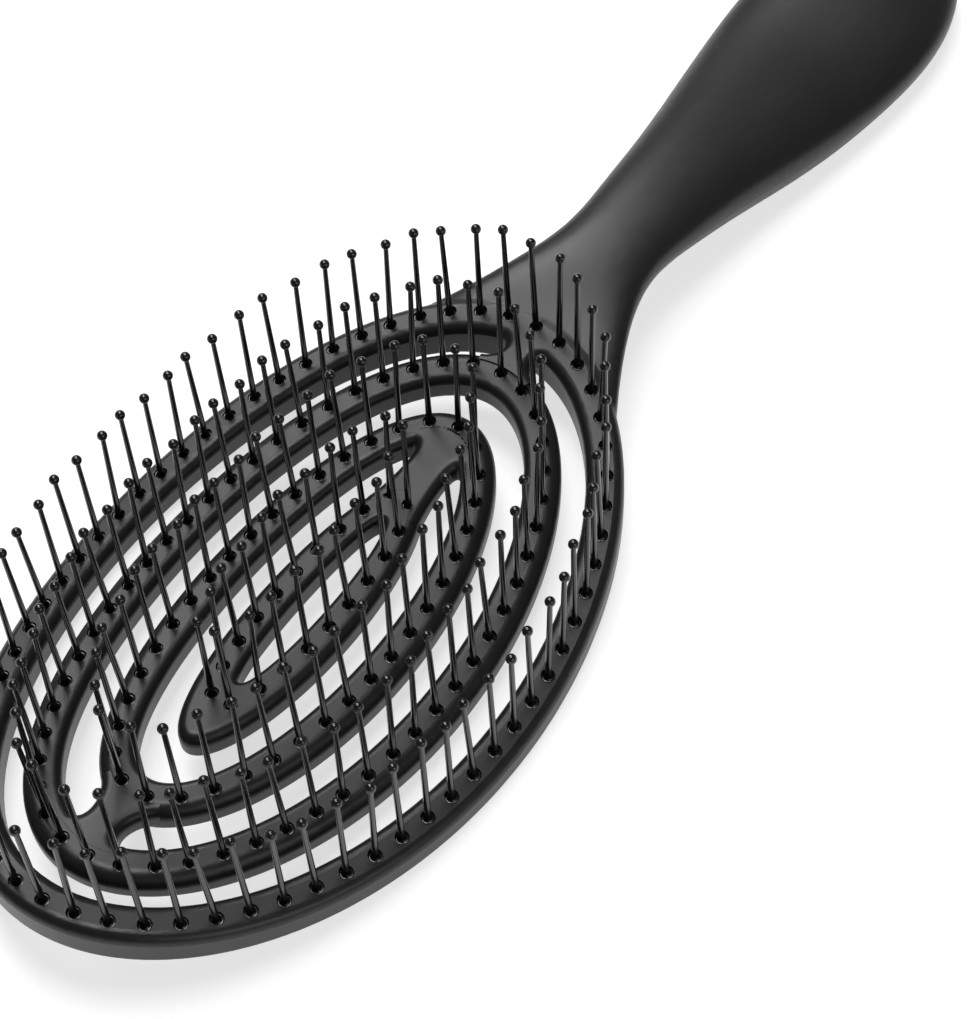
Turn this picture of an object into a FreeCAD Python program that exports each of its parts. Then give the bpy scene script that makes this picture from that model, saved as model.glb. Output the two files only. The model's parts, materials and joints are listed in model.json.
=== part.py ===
import FreeCAD, Part
import math
import os

# Sizes in millimetres. X runs across the head, Y from the tip to the grip, Z up through the pins.
HEAD_WIDTH = 75.2
HEAD_LENGTH = 120.7
RIM_DEPTH = 6.6
RING_DEPTH = 4.6
ARCH_RADIUS = 300.0
CROWN_RADIUS = 165.0
BACK_CROWN_RADIUS = 320.0
HANDLE_LENGTH = 112.5

# Rings: each reaches this far outside and inside its row of pins, with open vents between them.
RING_OUTSIDE = 2.7
RING_INSIDE = 3.2
SIDE_VENT = 4.1
OUTER_VENT_GRIP_END = 3.3
OUTER_VENT_TIP_END = 2.8
MIDDLE_VENT_GRIP_END = 4.9
MIDDLE_VENT_TIP_END = 5.8
INNER_VENT_GRIP_END = 7.5
INNER_VENT_TIP_END = 7.3
CORE_NOSE = 4.2
CORE_SLOT_WIDTH = 4.6
CORE_SLOT_GRIP_LAND = 5.5
CORE_SLOT_NOSE_LAND = 5.3
RIM_OUTER_ROUND = 1.6
RIM_INNER_ROUND = 1.6
RING_OUTER_ROUND = 2.2
RING_INNER_ROUND = 1.4
CORE_OUTER_ROUND = 1.8
CORE_INNER_ROUND = 1.2
BACK_ROUND = 0.8

# Pins with a ball tip and a flanged foot, held under the face plate of the ring.
PIN_PITCH = 4.65
PIN_REACH = 20.4
PIN_BASE_DIA = 1.0
PIN_TIP_DIA = 0.75
PIN_BALL_DIA = 1.55
PIN_COLLAR_DIA = 1.75
PIN_FLANGE_DIA = 2.6
PIN_FLANGE_THICK = 0.7
PIN_LEAN_DEG = 2.0
PIN_TURN_STEP = 2.4
PIN_LEAN_STEP = 1.7
PIN_HOLE_DIA = 2.1
FACE_PLATE = 1.3
FOOT_PLAY = 0.3

# Channel in the back of each ring, the soft backing strip in it and the cover that closes it.
CHANNEL_WIDTH = 3.3
STRIP_THICK = 0.5
STRIP_PLAY = 0.3
SIDE_FIT = 0.1
COVER_PLAY = 0.1

# Bending bridges between the rings: waist and root widths, thickness, and the groove under the web.
BRIDGE_THICK = 3.4
BRIDGE_DROP = 0.3
BRIDGE_WEB = 1.2
BRIDGE_GROOVE_DIA = 1.8
BRIDGE_SEAT = 0.05
BRIDGE_OVERRUN = 3.0
OUTER_BRIDGE_WAIST = 5.0
MIDDLE_BRIDGE_WAIST = 5.2
INNER_BRIDGE_WAIST = 4.6
BRIDGE_FLARE = 2.4

# Handle: distances run from the end of the head towards the end of the grip.
NECK_AT = 16.5
NECK_WIDTH = 17.1
NECK_FLARE = 5.5
NECK_FLARE_POWER = 1.5
NECK_LEVEL_AT = 8.0
NECK_BLEND = 2.0
BACK_LEVEL_AT = 63.0
GRIP_AT = 84.5
GRIP_WIDTH = 33.8
GRIP_FRONT = 10.6
GRIP_BACK = 0.2
GRIP_END_HEIGHT = 4.2
SECTION_POWER = 2.5
SECTION_POINTS = 32
ROOT_FRONT_DROP = 0.3
ROOT_BACK_RISE = 1.2

# Cover plate let into the back of the grip, with a flat land to rest on, over a hollow.
PANEL_AT = 74.0
PANEL_LENGTH = 34.0
PANEL_WIDTH = 14.0
PANEL_THICK = 2.6
PANEL_FIT = 0.15
PANEL_SEAT = 0.05
HOLLOW_LEDGE = 2.0
HOLLOW_ROOF = 4.0

# How far helper shapes run past the solids that they cut, and how finely a row is walked.
SIDE_MARGIN = 8.0
END_MARGIN = 10.0
CUT_MARGIN = 1.0
ROW_STEPS = 2000

V = FreeCAD.Vector
HEAD_END = HEAD_LENGTH / 2
BACK_DROP = BACK_CROWN_RADIUS - math.sqrt(BACK_CROWN_RADIUS ** 2 - (HEAD_WIDTH / 2) ** 2)
FRONT_RISE = RIM_DEPTH + BACK_DROP
AXIS_Z = FRONT_RISE + ARCH_RADIUS
ENVELOPE_X = HEAD_WIDTH / 2 + SIDE_MARGIN
HOLLOW_ANGLE = math.degrees(math.asin((HEAD_END + END_MARGIN) / (ARCH_RADIUS + FRONT_RISE)))
SHIFT = V(0, -HANDLE_LENGTH / 2, 0)


class Oval:
    """An ellipse in plan: half width across, and the Y of its tip end and its grip end."""

    def __init__(self, across, tip, grip):
        self.across = across
        self.tip = tip
        self.grip = grip

    def grown(self, by):
        return Oval(self.across + by, self.tip - by, self.grip + by)

    def middle(self):
        return (self.tip + self.grip) / 2

    def reach(self):
        return (self.grip - self.tip) / 2

    def wire(self):
        side = V(self.across, self.middle(), 0)
        ellipse = Part.Ellipse(V(0, self.grip, 0), side, V(0, self.middle(), 0))
        return Part.Wire(ellipse.toShape())

    def point(self, angle):
        return V(self.across * math.sin(angle), self.middle() - self.reach() * math.cos(angle), 0)

    def even_points(self, pitch):
        path = [self.point(2 * math.pi * i / ROW_STEPS) for i in range(ROW_STEPS + 1)]
        run = [0.0]
        for a, b in zip(path, path[1:]):
            run.append(run[-1] + a.distanceToPoint(b))
        count = round(run[-1] / pitch)
        spots = []
        at = 0
        for i in range(count):
            goal = run[-1] * (i + 0.5) / count
            while run[at] < goal:
                at += 1
            spots.append(path[at])
        return spots


def upright(face):
    """A plan face as a tall block, from below the brush to above its pins."""
    return face.translated(V(0, 0, -FRONT_RISE)).extrude(V(0, 0, 3 * FRONT_RISE + PIN_REACH))


def prism(outer, inner=None):
    wires = [outer.wire()]
    if inner:
        wires.append(inner.wire())
    return upright(Part.makeFace(wires, "Part::FaceMakerBullseye"))


def crown_drop(x, radius=CROWN_RADIUS):
    return radius - math.sqrt(radius ** 2 - x ** 2)


def front_z(x, y):
    reach = ARCH_RADIUS + crown_drop(x)
    return AXIS_Z - math.sqrt(reach ** 2 - y ** 2)


def back_z(y):
    return AXIS_Z - math.sqrt((ARCH_RADIUS + RIM_DEPTH) ** 2 - y ** 2)


def crown_arc(depth, radius=CROWN_RADIUS):
    """Arc across the head at a depth below the front, and the height of its ends."""
    side = FRONT_RISE - depth - crown_drop(ENVELOPE_X, radius)
    middle = V(0, 0, FRONT_RISE - depth)
    arc = Part.Arc(V(-ENVELOPE_X, 0, side), middle, V(ENVELOPE_X, 0, side))
    return arc.toShape(), side


def layer(depth, low):
    """Solid between the front surface lowered by depth and a second crowned arc."""
    top, top_side = crown_arc(depth)
    bottom, low_side = low
    sides = [Part.makeLine(V(x, 0, top_side), V(x, 0, low_side)) for x in (-ENVELOPE_X, ENVELOPE_X)]
    face = Part.Face(Part.Wire(Part.__sortEdges__([top, bottom] + sides)))
    face.rotate(V(0, 0, AXIS_Z), V(1, 0, 0), -HOLLOW_ANGLE)
    return face.revolve(V(0, 0, AXIS_Z), V(1, 0, 0), 2 * HOLLOW_ANGLE)


def one_solid(shape):
    if len(shape.Solids) != 1:
        raise ValueError("expected one solid, found %d" % len(shape.Solids))
    return shape.Solids[0]


def rim_edges(face):
    return [e for e in face.Edges if not e.isSeam(face)]


def ring_blank(outer, inner, low, roundings):
    """Plain ring from the front surface down to a crowned arc, with its edges rounded."""
    solid = one_solid(prism(outer, inner).common(layer(0.0, low)))
    for turn, radius in enumerate(roundings):
        front = max(solid.Faces, key=lambda f: f.CenterOfMass.z)
        widest_first = sorted(rim_edges(front), key=lambda e: -e.BoundBox.XLength)
        solid = one_solid(solid.makeFillet(radius, [widest_first[turn]]))
    back = min(solid.Faces, key=lambda f: f.CenterOfMass.z)
    return one_solid(solid.makeFillet(BACK_ROUND, rim_edges(back)))


def channel_cut(row):
    half = CHANNEL_WIDTH / 2
    below = crown_arc(RIM_DEPTH + FRONT_RISE)
    return prism(row.grown(half), row.grown(-half)).common(layer(FACE_PLATE, below))


def seat_z(spot):
    return front_z(spot.x, spot.y) - FACE_PLATE


def pin_holes(spots):
    radius = PIN_HOLE_DIA / 2
    tall = FACE_PLATE + 2 * CUT_MARGIN
    return [Part.makeCylinder(radius, tall, V(p.x, p.y, seat_z(p) - CUT_MARGIN)) for p in spots]


def cut_row(solid, row, spots):
    return one_solid(solid.cut([channel_cut(row)] + pin_holes(spots)))


def strip_top():
    return FACE_PLATE + FOOT_PLAY + PIN_FLANGE_THICK + STRIP_PLAY


def backing_strip(row):
    half = CHANNEL_WIDTH / 2 - SIDE_FIT
    low = crown_arc(strip_top() + STRIP_THICK)
    return one_solid(prism(row.grown(half), row.grown(-half)).common(layer(strip_top(), low)))


def back_cover(row, low):
    half = CHANNEL_WIDTH / 2 - SIDE_FIT
    body = layer(strip_top() + STRIP_THICK + COVER_PLAY, low)
    return one_solid(prism(row.grown(half), row.grown(-half)).common(body))


def pin_master():
    """One pin standing on its flange, with Z zero on the underside of the flange."""
    flange = PIN_FLANGE_DIA / 2
    collar = PIN_COLLAR_DIA / 2
    base = PIN_BASE_DIA / 2
    tip = PIN_TIP_DIA / 2
    ball = PIN_BALL_DIA / 2
    front = PIN_FLANGE_THICK + FOOT_PLAY + FACE_PLATE
    flare = collar - base
    centre = front + PIN_REACH - ball
    meet = centre - math.sqrt(ball ** 2 - tip ** 2)
    corners = [(0, 0), (flange, 0), (flange, PIN_FLANGE_THICK), (collar, PIN_FLANGE_THICK),
               (collar, front - flare)]
    points = [V(r, 0, z) for r, z in corners]
    edges = [Part.makeLine(a, b) for a, b in zip(points, points[1:])]
    slant = flare * math.sqrt(0.5)
    waist = V(base, 0, front)
    neck = V(tip, 0, meet)
    top = V(0, 0, centre + ball)
    edges.append(Part.Arc(points[-1], V(collar - slant, 0, front - slant), waist).toShape())
    edges.append(Part.makeLine(waist, neck))
    edges.append(Part.Arc(neck, V(ball, 0, centre), top).toShape())
    edges.append(Part.makeLine(top, points[0]))
    return Part.Face(Part.Wire(edges)).revolve(V(0, 0, 0), V(0, 0, 1), 360)


def pin_row(spots, phase):
    """A pin in each hole; a slow wave along the row gives each its own small lean."""
    master = pin_master()
    pins = []
    for i, p in enumerate(spots):
        pin = master.copy()
        foot = seat_z(p) - FOOT_PLAY - PIN_FLANGE_THICK
        turn = PIN_TURN_STEP * i + phase
        lean = PIN_LEAN_DEG * math.sin(PIN_LEAN_STEP * i + phase)
        pin.rotate(V(0, 0, PIN_FLANGE_THICK), V(math.cos(turn), math.sin(turn), 0), lean)
        pin.translate(V(p.x, p.y, foot))
        pins.append(pin)
    return Part.makeCompound(pins)


def bridge(low_wall, high_wall, near_y, far_y, waist):
    """Bending strip from a wall at near_y to a wall at far_y, grooved across its middle."""
    middle = (near_y + far_y) / 2
    narrow = waist / 2
    wide = narrow + BRIDGE_FLARE
    sides = []
    for s in (-1, 1):
        arc = Part.Arc(V(s * wide, near_y, 0), V(s * narrow, middle, 0), V(s * wide, far_y, 0))
        sides.append(arc.toShape())
    ends = []
    for y, out in ((near_y, -BRIDGE_OVERRUN), (far_y, BRIDGE_OVERRUN)):
        a, b = V(-wide, y, 0), V(wide, y, 0)
        c, d = V(-wide, y + out, 0), V(wide, y + out, 0)
        ends += [Part.makeLine(a, c), Part.makeLine(c, d), Part.makeLine(d, b)]
    body = upright(Part.Face(Part.Wire(Part.__sortEdges__(sides + ends))))
    body = body.common(layer(BRIDGE_DROP, crown_arc(BRIDGE_DROP + BRIDGE_THICK)))
    body = body.common(prism(high_wall.grown(-BRIDGE_SEAT))).cut(prism(low_wall.grown(BRIDGE_SEAT)))
    radius = BRIDGE_GROOVE_DIA / 2
    hinge = V(0, middle, front_z(0, middle) - BRIDGE_DROP - BRIDGE_WEB - radius)
    groove = Part.makeCylinder(radius, 4 * wide, V(-2 * wide, middle, hinge.z), V(1, 0, 0))
    slot_corner = V(-2 * wide, middle - radius, hinge.z - RIM_DEPTH)
    slot = Part.makeBox(4 * wide, 2 * radius, RIM_DEPTH, slot_corner)
    return one_solid(body.cut([groove, slot])), hinge


def ease(t):
    t = min(max(t, 0.0), 1.0)
    return t * t * (3 - 2 * t)


def round_off(at):
    """Share of the grip section left at a distance past its widest place."""
    t = (at - GRIP_AT) / (HANDLE_LENGTH - GRIP_AT)
    return math.sqrt(1 - t * t) if t > 0 else 1.0


def handle_half_width(at):
    neck = NECK_WIDTH / 2
    if at < NECK_AT:
        return neck + NECK_FLARE * ((NECK_AT - at) / NECK_AT) ** NECK_FLARE_POWER
    grown = neck + (GRIP_WIDTH / 2 - neck) * ease((at - NECK_AT) / (GRIP_AT - NECK_AT))
    return grown * round_off(at)


def levelled(height, slope, at, level_at):
    """Height that leaves the head with its own slope and is level at level_at."""
    t = min(at, level_at)
    return height + slope * t - slope * t * t / (2 * level_at)


def handle_heights(at):
    if at < 0:
        y = HEAD_END + at
        return front_z(0, y) - ROOT_FRONT_DROP, back_z(y) + ROOT_BACK_RISE
    front_slope = HEAD_END / math.sqrt(ARCH_RADIUS ** 2 - HEAD_END ** 2)
    back_slope = HEAD_END / math.sqrt((ARCH_RADIUS + RIM_DEPTH) ** 2 - HEAD_END ** 2)
    front = levelled(front_z(0, HEAD_END) - ROOT_FRONT_DROP, front_slope, at, NECK_AT)
    back = levelled(back_z(HEAD_END) + ROOT_BACK_RISE, back_slope, at, NECK_LEVEL_AT)
    front += (GRIP_FRONT - front) * ease((at - NECK_AT) / (GRIP_AT - NECK_AT))
    back += (GRIP_BACK - back) * ease((at - NECK_LEVEL_AT) / (BACK_LEVEL_AT - NECK_LEVEL_AT))
    left = round_off(at)
    return [GRIP_END_HEIGHT + (z - GRIP_END_HEIGHT) * left for z in (front, back)]


def handle_section(at):
    wide = handle_half_width(at)
    front, back = handle_heights(at)
    middle, high = (front + back) / 2, (front - back) / 2
    power = 2 / SECTION_POWER
    points = []
    for i in range(SECTION_POINTS):
        a = 2 * math.pi * i / SECTION_POINTS
        c, s = math.cos(a), math.sin(a)
        x = math.copysign(abs(c) ** power, c) * wide
        z = math.copysign(abs(s) ** power, s) * high + middle
        points.append(V(x, HEAD_END + at, z))
    curve = Part.BSplineCurve()
    curve.interpolate(Points=points, PeriodicFlag=True)
    return Part.Wire(curve.toShape())


def handle_bar(row):
    stops = [NECK_AT * share for share in (-0.8, -0.55, -0.3, -0.05, 0.25, 0.6, 1.0)]
    stops += [NECK_AT + (GRIP_AT - NECK_AT) * i / 6 for i in range(1, 7)]
    stops += [GRIP_AT + (HANDLE_LENGTH - GRIP_AT) * s for s in (0.3, 0.55, 0.75, 0.88, 0.96)]
    sections = [handle_section(at) for at in stops]
    sections.append(Part.Vertex(V(0, HEAD_END + HANDLE_LENGTH, GRIP_END_HEIGHT)))
    bar = Part.makeLoft(sections, True, False)
    return one_solid(bar.cut(prism(row)))


def with_handle(rim, row):
    """The rim fused to the handle, with the seam between the two blended."""
    whole = one_solid(rim.fuse(handle_bar(row)))
    grip = max(whole.Faces, key=lambda f: f.BoundBox.YMax)
    seam = [e for e in rim_edges(grip) if not e.Degenerated]
    return one_solid(whole.makeFillet(NECK_BLEND, seam))


def capsule(length, width, at, low, high):
    """Upright block with round ends, long in Y, centred on the grip."""
    radius = width / 2
    half = length / 2 - radius
    y = HEAD_END + at
    arcs = [Part.Arc(V(-radius, y + s * half, low), V(0, y + s * (half + radius), low),
                     V(radius, y + s * half, low)).toShape() for s in (-1, 1)]
    lines = [Part.makeLine(V(x, y - half, low), V(x, y + half, low)) for x in (-radius, radius)]
    face = Part.Face(Part.Wire(Part.__sortEdges__(arcs + lines)))
    return face.extrude(V(0, 0, high - low))


rim_row = Oval(HEAD_WIDTH / 2, -HEAD_END, HEAD_END).grown(-RING_OUTSIDE)


def next_row(row, tip_vent, grip_vent):
    step = RING_INSIDE + RING_OUTSIDE
    return Oval(row.across - step - SIDE_VENT, row.tip + step + tip_vent, row.grip - step - grip_vent)


middle_row = next_row(rim_row, OUTER_VENT_TIP_END, OUTER_VENT_GRIP_END)
inner_row = next_row(middle_row, MIDDLE_VENT_TIP_END, MIDDLE_VENT_GRIP_END)
core_edge = next_row(inner_row, INNER_VENT_TIP_END, INNER_VENT_GRIP_END).grown(RING_OUTSIDE)
core_row = core_edge.grown(-RING_OUTSIDE)
core_row.tip += CORE_NOSE
slot_tip = core_row.tip + CORE_SLOT_NOSE_LAND
core_slot = Oval(CORE_SLOT_WIDTH / 2, slot_tip, core_row.grip - CORE_SLOT_GRIP_LAND)

rim_low = crown_arc(RIM_DEPTH, BACK_CROWN_RADIUS)
ring_low = crown_arc(RING_DEPTH)
rows = {
    "rim": (rim_row, rim_row.grown(RING_OUTSIDE), rim_row.grown(-RING_INSIDE), rim_low),
    "middle": (middle_row, middle_row.grown(RING_OUTSIDE), middle_row.grown(-RING_INSIDE), ring_low),
    "inner": (inner_row, inner_row.grown(RING_OUTSIDE), inner_row.grown(-RING_INSIDE), ring_low),
    "core": (core_row, core_edge, core_slot, ring_low),
}
roundings = {
    "rim": (RIM_OUTER_ROUND, RIM_INNER_ROUND),
    "middle": (RING_OUTER_ROUND, RING_INNER_ROUND),
    "inner": (RING_OUTER_ROUND, RING_INNER_ROUND),
    "core": (CORE_OUTER_ROUND, CORE_INNER_ROUND),
}

nodes = {}
for number, (name, (row, outer, inner, low)) in enumerate(rows.items()):
    spots = row.even_points(PIN_PITCH)
    blank = ring_blank(outer, inner, low, roundings[name])
    if name == "rim":
        blank = with_handle(blank, row)
        seat = capsule(PANEL_LENGTH, PANEL_WIDTH, PANEL_AT, -CUT_MARGIN, PANEL_THICK + PANEL_SEAT)
        ledge = 2 * HOLLOW_LEDGE
        roof = GRIP_FRONT - HOLLOW_ROOF
        hollow = capsule(PANEL_LENGTH - ledge, PANEL_WIDTH - ledge, PANEL_AT, 0.0, roof)
        blank = one_solid(blank.cut([seat, hollow]))
        trim = 2 * PANEL_FIT
        panel = capsule(PANEL_LENGTH - trim, PANEL_WIDTH - trim, PANEL_AT, 0.0, PANEL_THICK)
        nodes["handle_frame"] = cut_row(blank, row, spots)
        nodes["handle_back_panel"] = panel
    else:
        nodes[name + "_ring_frame"] = cut_row(blank, row, spots)
    nodes[name + "_backing_strip"] = backing_strip(row)
    nodes[name + "_back_cover"] = back_cover(row, low)
    nodes[name + "_pins"] = pin_row(spots, number)
    print(name, "pins", len(spots))

hinges = {}
bridges = (
    ("outer_bridge", rows["middle"][1], rows["rim"][2], True, OUTER_BRIDGE_WAIST),
    ("middle_bridge", rows["inner"][1], rows["middle"][2], False, MIDDLE_BRIDGE_WAIST),
    ("inner_bridge", core_edge, rows["inner"][2], True, INNER_BRIDGE_WAIST),
)
for name, low_wall, high_wall, at_grip, waist in bridges:
    near, far = (low_wall.grip, high_wall.grip) if at_grip else (high_wall.tip, low_wall.tip)
    nodes[name], hinges[name] = bridge(low_wall, high_wall, near, far, waist)

os.makedirs("parts", exist_ok=True)
for name, shape in nodes.items():
    shape = shape.translated(SHIFT)
    shape.exportStep("parts/%s.step" % name)
    box = shape.BoundBox
    print("%-22s solids %3d valid %s volume %8.1f z %.2f to %.2f" % (
        name, len(shape.Solids), shape.isValid(), shape.Volume, box.ZMin, box.ZMax))
for name, point in hinges.items():
    place = point + SHIFT
    print("hinge %s at %.4f %.4f %.4f" % (name, place.x, place.y, place.z))
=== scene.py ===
import json
import math

import bmesh
import bpy
from mathutils import Matrix, Vector

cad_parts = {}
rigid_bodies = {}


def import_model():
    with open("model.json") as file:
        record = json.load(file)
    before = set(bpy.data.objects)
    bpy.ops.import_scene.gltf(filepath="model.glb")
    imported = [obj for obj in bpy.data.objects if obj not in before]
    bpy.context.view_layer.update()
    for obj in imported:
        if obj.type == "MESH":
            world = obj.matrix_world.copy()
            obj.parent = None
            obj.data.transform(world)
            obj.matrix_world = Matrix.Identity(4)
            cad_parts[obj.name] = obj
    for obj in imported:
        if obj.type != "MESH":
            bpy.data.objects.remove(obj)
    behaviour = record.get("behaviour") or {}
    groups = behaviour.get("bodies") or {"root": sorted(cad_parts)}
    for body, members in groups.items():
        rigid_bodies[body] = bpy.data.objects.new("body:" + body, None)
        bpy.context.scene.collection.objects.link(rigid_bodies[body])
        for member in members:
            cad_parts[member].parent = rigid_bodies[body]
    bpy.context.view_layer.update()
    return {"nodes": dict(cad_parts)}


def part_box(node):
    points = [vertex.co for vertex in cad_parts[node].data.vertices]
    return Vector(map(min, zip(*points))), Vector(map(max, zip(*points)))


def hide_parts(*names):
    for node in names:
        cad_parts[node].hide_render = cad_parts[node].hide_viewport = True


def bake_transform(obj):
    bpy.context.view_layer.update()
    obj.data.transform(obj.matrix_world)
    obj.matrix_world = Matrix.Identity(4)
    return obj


for left_over in list(bpy.data.objects):
    bpy.data.objects.remove(left_over)
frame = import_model()
MM = 0.001

# The front of the head: hollow along its length, crowned across it.
FRONT_RISE = 8.817 * MM
ARCH_RADIUS = 300.0 * MM
CROWN_RADIUS = 165.0 * MM

# From the outer edge of a backing strip to the inner wall of its ring.
STRIP_TO_INNER_WALL = 4.75 * MM

# Bending bridges: rounded edges, depth at the walls and at mid span, and how they meet the rings.
BRIDGE_TOP_ROUND = 1.6 * MM
BRIDGE_LOW_ROUND = 0.7 * MM
BRIDGE_DEPTH_AT_WALL = 4.2 * MM
BRIDGE_DEPTH_MID = 3.6 * MM
BRIDGE_LIFT = 0.02 * MM
BRIDGE_SINK = 0.05 * MM
BRIDGE_ROWS = 30
BRIDGE_COLUMNS = 14
ROUND_STEPS = 6
WALL_STEPS = 4

# The photograph's view: angles in degrees, lengths in metres, focal length in pixels of its frame.
PHOTO_WIDTH = 970
VIEW_AZIMUTH = 39.134
VIEW_ELEVATION = 55.791
VIEW_ROLL = -3.375
VIEW_DISTANCE = 0.39005
VIEW_TARGET = (0.006833, -0.021907, -0.001183)
FOCAL_PIXELS = 2565.1
SENSOR_WIDTH = 36.0

# The floor: its own colour, its glow near the brush, and where that glow has risen to plain white.
WHITE = (1.0, 1.0, 1.0, 1.0)
FLOOR_SIDE = 3.2
FLOOR_PAPER = (0.50, 0.497, 0.494, 1.0)
FLOOR_GLOW = 0.67
GLOW_NEAR = 0.25
GLOW_FAR = 0.8
WORLD_LEVEL = 0.15

# Lamps: azimuth and elevation in degrees, distance, width and height in metres, power in watts.
LAMPS = (
    ("key_box", 236.0, 46.0, 0.9, 0.5, 0.3, 4.4),
    ("top_box", 215.0, 84.0, 0.9, 0.3, 0.3, 3.2),
    ("neck_box", 262.0, 70.0, 0.9, 0.25, 0.25, 1.8),
    ("front_fill", 75.0, 30.0, 1.0, 0.7, 0.4, 2.0),
)


class Value:
    """A socket that takes part in Python sums: each sum adds a Math node."""

    def __init__(self, finish, socket):
        self.finish = finish
        self.socket = socket

    def sum(self, operation, first, second):
        return self.finish.node("ShaderNodeMath", {"operation": operation}, {0: first, 1: second})

    def __add__(self, other):
        return self.sum("ADD", self, other)

    def __mul__(self, other):
        return self.sum("MULTIPLY", self, other)

    __radd__ = __add__
    __rmul__ = __mul__


class Finish:
    """A material, or the world, and the nodes that make it."""

    def __init__(self, owner):
        self.owner = owner
        owner.use_nodes = True
        self.tree = owner.node_tree
        self.tree.nodes.clear()

    def node(self, kind, settings=None, sockets=None, out=0):
        made = self.tree.nodes.new(kind)
        for name, value in (settings or {}).items():
            setattr(made, name, value)
        for name, value in (sockets or {}).items():
            if isinstance(value, Value):
                self.tree.links.new(value.socket, made.inputs[name])
            else:
                made.inputs[name].default_value = value
        return Value(self, made.outputs[out]) if len(made.outputs) else made

    def place(self):
        """Position in the part's own frame, in metres."""
        return self.node("ShaderNodeTexCoord", out="Object")

    def noise(self, scale, detail=2.0, roughness=0.5):
        return self.node("ShaderNodeTexNoise", sockets={
            "Vector": self.place(), "Scale": scale, "Detail": detail, "Roughness": roughness})

    def between(self, share, first, second):
        """A colour between two others."""
        return self.node("ShaderNodeMix", {"data_type": "RGBA"}, {0: share, 6: first, 7: second}, out=2)

    def bump(self, height, strength, distance):
        return self.node("ShaderNodeBump", sockets={
            "Height": height, "Strength": strength, "Distance": distance})

    def surface(self, **sockets):
        titles = {name: name.replace("_", " ").title().replace("Ior", "IOR") for name in sockets}
        named = {titles[name]: value for name, value in sockets.items()}
        shader = self.node("ShaderNodeBsdfPrincipled", sockets=named)
        self.node("ShaderNodeOutputMaterial", sockets={"Surface": shader})
        return self.owner


def grey(level, tint=0.0):
    """A near-black with a slight cool cast."""
    return (level * (1 + tint * 0.3), level, level * (1 + tint), 1.0)


def soft_touch_black(name, dark, pale, rough):
    """Soft-touch lacquer over moulded plastic: matte, with a fine grain and faint cloudy handling."""
    finish = Finish(bpy.data.materials.new(name))
    clouds = finish.noise(55.0, 3.0)
    grain = finish.noise(5200.0, 2.0, 0.6)
    colour = finish.between(clouds, grey(dark, 0.08), grey(pale, 0.12))
    return finish.surface(
        base_color=colour,
        roughness=clouds * 0.10 + grain * 0.06 + (rough - 0.08),
        specular_ior_level=0.38,
        sheen_weight=0.03,
        sheen_roughness=0.5,
        normal=finish.bump(grain, 0.25, 0.012 * MM))


def glossy_nylon(name):
    """Moulded nylon pins: deep black, glossy, with slight flow marks."""
    finish = Finish(bpy.data.materials.new(name))
    flow = finish.noise(420.0, 2.0)
    colour = finish.between(flow, grey(0.0035), grey(0.006, 0.1))
    return finish.surface(
        base_color=colour,
        roughness=flow * 0.10 + 0.12,
        specular_ior_level=0.5,
        normal=finish.bump(flow, 0.08, 0.02 * MM))


def backing_rubber(name):
    """Soft strip behind the feet of the pins: dull and slightly mottled."""
    finish = Finish(bpy.data.materials.new(name))
    mottle = finish.noise(900.0, 4.0)
    colour = finish.between(mottle, grey(0.012), grey(0.022))
    return finish.surface(
        base_color=colour,
        roughness=mottle * 0.15 + 0.75,
        normal=finish.bump(mottle, 0.3, 0.03 * MM))


class Oval:
    """Plan outline of a ring wall, from the box of a node, drawn in by a margin."""

    def __init__(self, node, margin=0.0):
        low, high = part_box(node)
        self.across = (high.x - low.x) / 2 - margin
        self.reach = (high.y - low.y) / 2 - margin
        self.middle = (high.y + low.y) / 2

    def grown(self, by):
        made = object.__new__(Oval)
        made.across, made.reach, made.middle = self.across + by, self.reach + by, self.middle
        return made

    def y(self, x, end):
        return self.middle + end * self.reach * math.sqrt(1 - (x / self.across) ** 2)

    def tangent(self, x, end):
        """Direction along the wall, towards greater x."""
        slope = -end * self.reach * x / self.across ** 2 / math.sqrt(1 - (x / self.across) ** 2)
        return Vector((1.0, slope)).normalized()


HEAD_MIDDLE = Oval("rim_backing_strip").middle


def front_height(x, y):
    across = CROWN_RADIUS - math.sqrt(CROWN_RADIUS ** 2 - x ** 2)
    along = y - HEAD_MIDDLE
    return ARCH_RADIUS + FRONT_RISE - math.sqrt((ARCH_RADIUS + across) ** 2 - along ** 2)


def side_curve(low, high, end, waist, flare):
    """Right edge of a bridge in plan, leaving and meeting the two ring walls along their own lines."""
    x = waist / 2 + flare
    start = Vector((x, low.y(x, end) - end * BRIDGE_SINK))
    stop = Vector((x, high.y(x, end) + end * BRIDGE_SINK))
    pull = flare * 4 / 3
    first = start - low.tangent(x, end) * pull
    second = stop - high.tangent(x, end) * pull
    points = []
    for i in range(BRIDGE_ROWS + 1):
        t = i / BRIDGE_ROWS
        u = 1 - t
        place = start * u ** 3 + first * (3 * u * u * t) + second * (3 * u * t * t) + stop * t ** 3
        along = (first - start) * (u * u) + (second - first) * (2 * u * t) + (stop - second) * (t * t)
        along.normalize()
        points.append((t, place, Vector((-along.y * end, along.x * end))))
    return points


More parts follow.
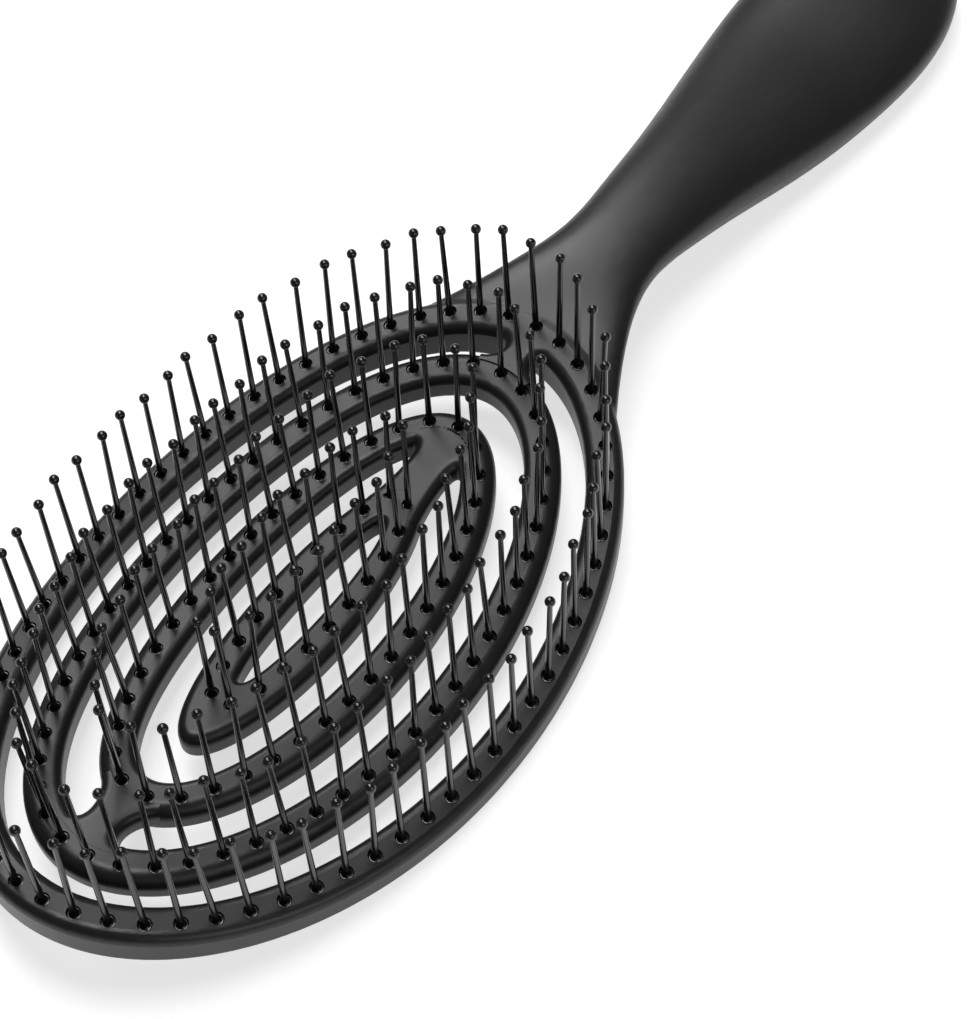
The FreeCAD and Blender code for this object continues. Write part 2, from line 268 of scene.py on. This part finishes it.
def bridge_piece(name, low, high, end, waist, flare):
    """Waisted strip between two ring walls, with rounded edges, thinner at mid span."""
    curve = side_curve(low, high, end, waist, flare)
    spread = [2 * i / BRIDGE_COLUMNS - 1 for i in range(BRIDGE_COLUMNS + 1)]
    mesh = bmesh.new()
    loops = []
    for t, edge, inward in curve:
        depth = BRIDGE_DEPTH_AT_WALL + (BRIDGE_DEPTH_MID - BRIDGE_DEPTH_AT_WALL) * math.sin(math.pi * t)

        def across(inset, drop):
            """A line of points from the left edge to the right, at one inset and depth."""
            corner = edge + inward * inset
            walls = low.grown(-inset), high.grown(inset)
            line = []
            for s in spread:
                x = corner.x * s
                bow = [wall.y(x, end) - wall.y(corner.x, end) for wall in walls]
                y = corner.y + bow[0] * (1 - t) + bow[1] * t
                line.append(Vector((x, y, front_height(x, y) + BRIDGE_LIFT - drop)))
            return line

        def sides(profile):
            """Points down the right edge, and their mirror images on the left."""
            right = []
            for inset, drop in profile:
                p = edge + inward * inset
                right.append(Vector((p.x, p.y, front_height(p.x, p.y) + BRIDGE_LIFT - drop)))
            return right, [Vector((-p.x, p.y, p.z)) for p in right]

        profile = []
        for i in range(1, ROUND_STEPS + 1):
            a = math.pi / 2 * i / ROUND_STEPS
            profile.append((BRIDGE_TOP_ROUND * (1 - math.sin(a)), BRIDGE_TOP_ROUND * (1 - math.cos(a))))
        wall_end = depth - BRIDGE_LOW_ROUND
        wall = wall_end - BRIDGE_TOP_ROUND
        for i in range(1, WALL_STEPS + 1):
            profile.append((0.0, BRIDGE_TOP_ROUND + wall * i / WALL_STEPS))
        for i in range(1, ROUND_STEPS):
            a = math.pi / 2 * i / ROUND_STEPS
            inset = BRIDGE_LOW_ROUND * (1 - math.cos(a))
            profile.append((inset, wall_end + BRIDGE_LOW_ROUND * math.sin(a)))
        right, left = sides(profile)
        top = across(BRIDGE_TOP_ROUND, 0.0)
        under = across(BRIDGE_LOW_ROUND, depth)
        loop = top + right + under[::-1] + left[::-1]
        loops.append([mesh.verts.new(p) for p in loop])
    size = len(loops[0])
    for near, far in zip(loops, loops[1:]):
        for i in range(size):
            j = (i + 1) % size
            mesh.faces.new((near[i], near[j], far[j], far[i])).smooth = True
    for loop in (loops[0], loops[-1]):
        close_end(mesh, loop, len(profile))
    bmesh.ops.recalc_face_normals(mesh, faces=mesh.faces)
    data = bpy.data.meshes.new(name)
    mesh.to_mesh(data)
    mesh.free()
    piece = bpy.data.objects.new(name, data)
    bpy.context.scene.collection.objects.link(piece)
    return piece


def close_end(mesh, loop, side_count):
    """Flat end, buried in the ring that the bridge joins."""
    columns = BRIDGE_COLUMNS + 1
    top = loop[:columns]
    right = loop[columns:columns + side_count]
    under = loop[columns + side_count:2 * columns + side_count][::-1]
    left = loop[2 * columns + side_count:][::-1]
    for i in range(BRIDGE_COLUMNS):
        mesh.faces.new((top[i], top[i + 1], under[i + 1], under[i]))
    mesh.faces.new([top[-1]] + right + [under[-1]])
    mesh.faces.new([top[0]] + left + [under[0]])
    for i, vert in enumerate(loop):
        edge = mesh.edges.get((vert, loop[(i + 1) % len(loop)]))
        edge.smooth = False


def paint(obj, material):
    obj.data.materials.clear()
    obj.data.materials.append(material)


body_black = soft_touch_black("soft_touch_black", 0.0045, 0.008, 0.37)
cover_black = soft_touch_black("moulded_cover_black", 0.0045, 0.0075, 0.46)
pin_black = glossy_nylon("glossy_nylon_black")
strip_black = backing_rubber("backing_rubber_black")
for name, node in frame["nodes"].items():
    if name.endswith("_pins"):
        paint(node, pin_black)
    elif name.endswith("_backing_strip"):
        paint(node, strip_black)
    elif name.endswith("_back_cover") or name == "handle_back_panel":
        paint(node, cover_black)
    else:
        paint(node, body_black)

# Bridge, the two bodies that it joins, its outer and inner wall, its end of the head, waist and flare.
BRIDGES = (
    ("outer_bridge", "handle", "middle_ring", Oval("rim_backing_strip", STRIP_TO_INNER_WALL),
     Oval("middle_ring_frame"), 1, 5.0 * MM, 2.4 * MM),
    ("middle_bridge", "middle_ring", "inner_ring", Oval("middle_backing_strip", STRIP_TO_INNER_WALL),
     Oval("inner_ring_frame"), -1, 5.2 * MM, 2.8 * MM),
    ("inner_bridge", "inner_ring", "core", Oval("inner_backing_strip", STRIP_TO_INNER_WALL),
     Oval("core_ring_frame"), 1, 4.6 * MM, 2.4 * MM),
)
for node, outer_body, inner_body, outer_wall, inner_wall, end, waist, flare in BRIDGES:
    piece = bridge_piece(node + "_web", inner_wall, outer_wall, end, waist, flare)
    paint(piece, body_black)
    outer_y, inner_y = outer_wall.y(0.0, end), inner_wall.y(0.0, end)
    front_height(0.0, outer_y)
    front_height(0.0, inner_y)
    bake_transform(piece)
    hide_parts(node)


def white_floor():
    """Plain white floor that keeps the brush's shadow and looks white to the camera and in gloss."""
    half = FLOOR_SIDE / 2
    corners = [(-half, -half, 0), (half, -half, 0), (half, half, 0), (-half, half, 0)]
    data = bpy.data.meshes.new("floor")
    data.from_pydata(corners, [], [(0, 1, 2, 3)])
    floor = bpy.data.objects.new("floor", data)
    bpy.context.scene.collection.objects.link(floor)
    finish = Finish(bpy.data.materials.new("white_floor"))
    path = finish.node("ShaderNodeLightPath", out="Is Camera Ray")
    gloss = Value(finish, path.socket.node.outputs["Is Glossy Ray"])
    through = Value(finish, path.socket.node.outputs["Is Transmission Ray"])
    paper = finish.node("ShaderNodeBsdfDiffuse", sockets={"Color": FLOOR_PAPER})
    away = finish.node(
        "ShaderNodeVectorMath", {"operation": "LENGTH"}, {0: finish.place()}, out="Value")
    level = finish.node("ShaderNodeMapRange", sockets={
        "Value": away, "From Min": GLOW_NEAR, "From Max": GLOW_FAR,
        "To Min": FLOOR_GLOW, "To Max": 1.0})
    glow = finish.node("ShaderNodeEmission", sockets={"Strength": (path + gloss + through) * level})
    both = finish.node("ShaderNodeAddShader", sockets={0: paper, 1: glow})
    finish.node("ShaderNodeOutputMaterial", sockets={"Surface": both})
    data.materials.append(finish.owner)


def white_world():
    world = bpy.data.worlds.new("studio")
    bpy.context.scene.world = world
    finish = Finish(world)
    path = finish.node("ShaderNodeLightPath", out="Is Camera Ray")
    level = path * (1.0 - WORLD_LEVEL) + WORLD_LEVEL
    glow = finish.node("ShaderNodeBackground", sockets={"Color": WHITE, "Strength": level})
    finish.node("ShaderNodeOutputWorld", sockets={"Surface": glow})


def softbox(name, azimuth, elevation, distance, width, height, power):
    """Area lamp aimed at the middle of the brush; azimuth 0 stands at -Y, 90 at +X."""
    a, e = math.radians(azimuth), math.radians(elevation)
    away = Vector((math.sin(a) * math.cos(e), -math.cos(a) * math.cos(e), math.sin(e)))
    data = bpy.data.lights.new(name, "AREA")
    data.shape = "RECTANGLE"
    data.size, data.size_y = width, height
    data.energy = power
    lamp = bpy.data.objects.new(name, data)
    lamp.location = away * distance
    lamp.rotation_mode = "QUATERNION"
    lamp.rotation_quaternion = (-away).to_track_quat("-Z", "Y")
    bpy.context.scene.collection.objects.link(lamp)


def photo_camera():
    a, e, roll = (math.radians(v) for v in (VIEW_AZIMUTH, VIEW_ELEVATION, VIEW_ROLL))
    back = Vector((math.sin(a) * math.cos(e), -math.cos(a) * math.cos(e), math.sin(e)))
    level = Vector((math.cos(a), math.sin(a), 0.0))
    rise = back.cross(level)
    right = level * math.cos(roll) + rise * math.sin(roll)
    up = rise * math.cos(roll) - level * math.sin(roll)
    data = bpy.data.cameras.new("photo_view")
    data.sensor_fit = "HORIZONTAL"
    data.sensor_width = SENSOR_WIDTH
    data.lens = SENSOR_WIDTH * FOCAL_PIXELS / PHOTO_WIDTH
    data.clip_start, data.clip_end = 0.01, 20.0
    camera = bpy.data.objects.new("photo_view", data)
    turn = Matrix((right, up, back)).transposed().to_4x4()
    camera.matrix_world = Matrix.Translation(Vector(VIEW_TARGET) + back * VIEW_DISTANCE) @ turn
    bpy.context.scene.collection.objects.link(camera)
    bpy.context.scene.camera = camera


white_floor()
white_world()
for lamp in LAMPS:
    softbox(*lamp)
photo_camera()
bpy.context.scene.view_settings.view_transform = "Standard"
